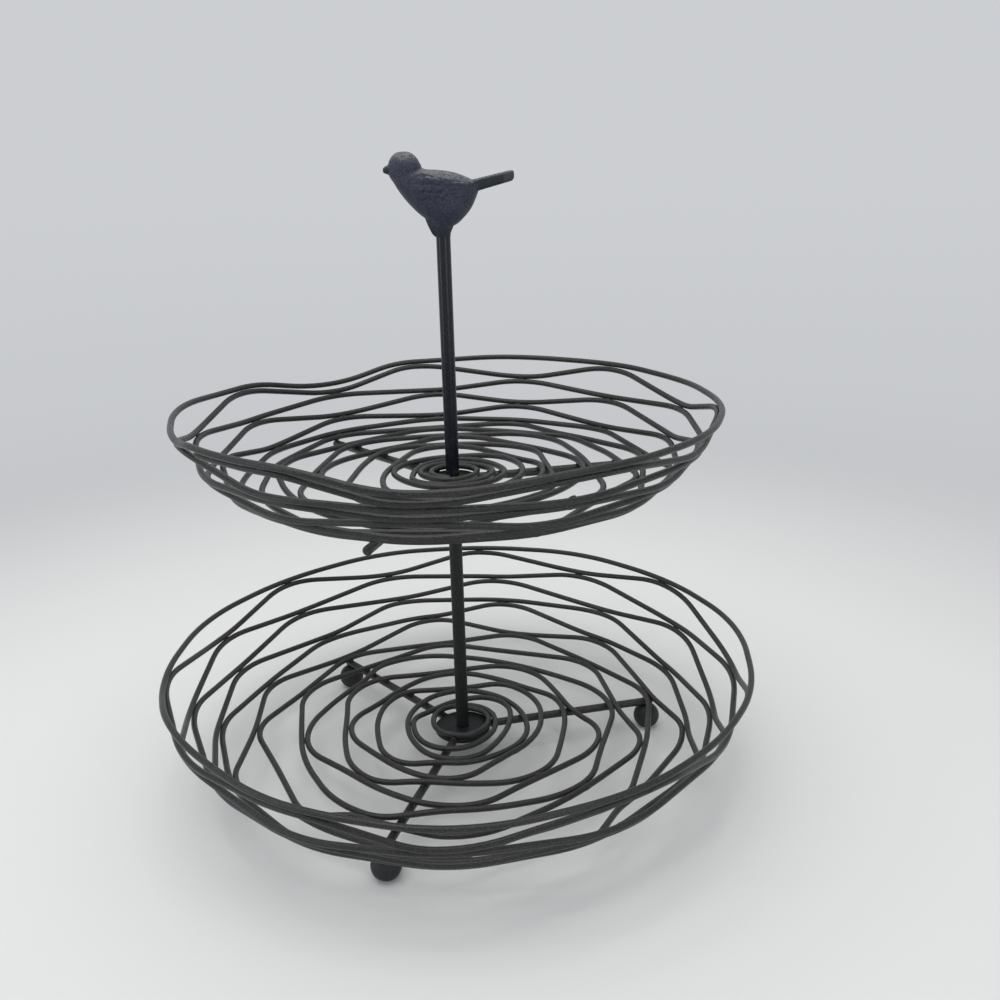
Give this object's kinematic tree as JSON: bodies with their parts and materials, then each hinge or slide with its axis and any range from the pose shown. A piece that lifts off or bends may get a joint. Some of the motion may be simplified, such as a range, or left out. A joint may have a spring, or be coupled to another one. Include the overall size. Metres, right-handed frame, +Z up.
{
  "type": "tiered wire basket",
  "caption": "Tiered fruit basket of wavy spiral-wound coated wire bowls on a central post, with ball feet and a cast bird finial at the top.",
  "frame": {"origin": "on the table, under the middle of the post", "axes": "+Z up along the post, -Y towards the viewer of the picture, +X to the viewer's right"},
  "size_m": [0.2542, 0.2538, 0.2609],
  "materials": {
    "coated_wire": "matte powder coat with a fine sandy grain",
    "hub_coat": "matte powder coat",
    "foot_coat": "matte black paint",
    "lower_post_coat": "matte powder coat",
    "upper_post_coat": "semi-gloss blue-black paint",
    "cast_bird": "dark slate-bronze paint, worn lighter on the edges",
    "fastener_steel": "zinc plated"
  },
  "bodies": {
    "stand": {"lower_rim": "coated_wire", "lower_turn_01": "coated_wire", "lower_turn_02": "coated_wire", "lower_turn_03": "coated_wire", "lower_turn_04": "coated_wire", "lower_turn_05": "coated_wire", "lower_turn_06": "coated_wire", "lower_turn_07": "coated_wire", "lower_turn_08": "coated_wire", "lower_turn_09": "coated_wire", "lower_turn_10": "coated_wire", "lower_turn_11": "coated_wire", "lower_turn_12": "coated_wire", "lower_turn_13": "coated_wire", "lower_turn_14": "coated_wire", "lower_turn_15": "coated_wire", "lower_turn_16": "coated_wire", "lower_hub": "hub_coat", "lower_spoke_1": "coated_wire", "lower_spoke_2": "coated_wire", "lower_spoke_3": "coated_wire", "ball_foot_1": "foot_coat", "ball_foot_2": "foot_coat", "ball_foot_3": "foot_coat", "lower_post": "lower_post_coat", "base_washer": "fastener_steel", "base_screw": "fastener_steel", "joining_stud": "fastener_steel"},
    "upper_basket": {"upper_rim": "coated_wire", "upper_turn_01": "coated_wire", "upper_turn_02": "coated_wire", "upper_turn_03": "coated_wire", "upper_turn_04": "coated_wire", "upper_turn_05": "coated_wire", "upper_turn_06": "coated_wire", "upper_turn_07": "coated_wire", "upper_turn_08": "coated_wire", "upper_turn_09": "coated_wire", "upper_turn_10": "coated_wire", "upper_turn_11": "coated_wire", "upper_turn_12": "coated_wire", "upper_turn_13": "coated_wire", "upper_turn_14": "coated_wire", "upper_turn_15": "coated_wire", "upper_turn_16": "coated_wire", "upper_hub": "hub_coat", "upper_spoke_1": "coated_wire", "upper_spoke_2": "coated_wire", "upper_spoke_3": "coated_wire"},
    "handle": {"upper_post": "upper_post_coat", "finial_pin": "fastener_steel", "bird_finial": "cast_bird"}
  },
  "joints": [
    {"name": "upper_basket_turn", "type": "hinge", "parent": "stand", "child": "upper_basket", "pos_m": [0, 0, 0.131], "axis": [0, 0, 1], "continuous": true},
    {"name": "handle_turn", "type": "hinge", "parent": "stand", "child": "handle", "pos_m": [0, 0, 0.13225], "axis": [0, 0, 1], "continuous": true}
  ]
}
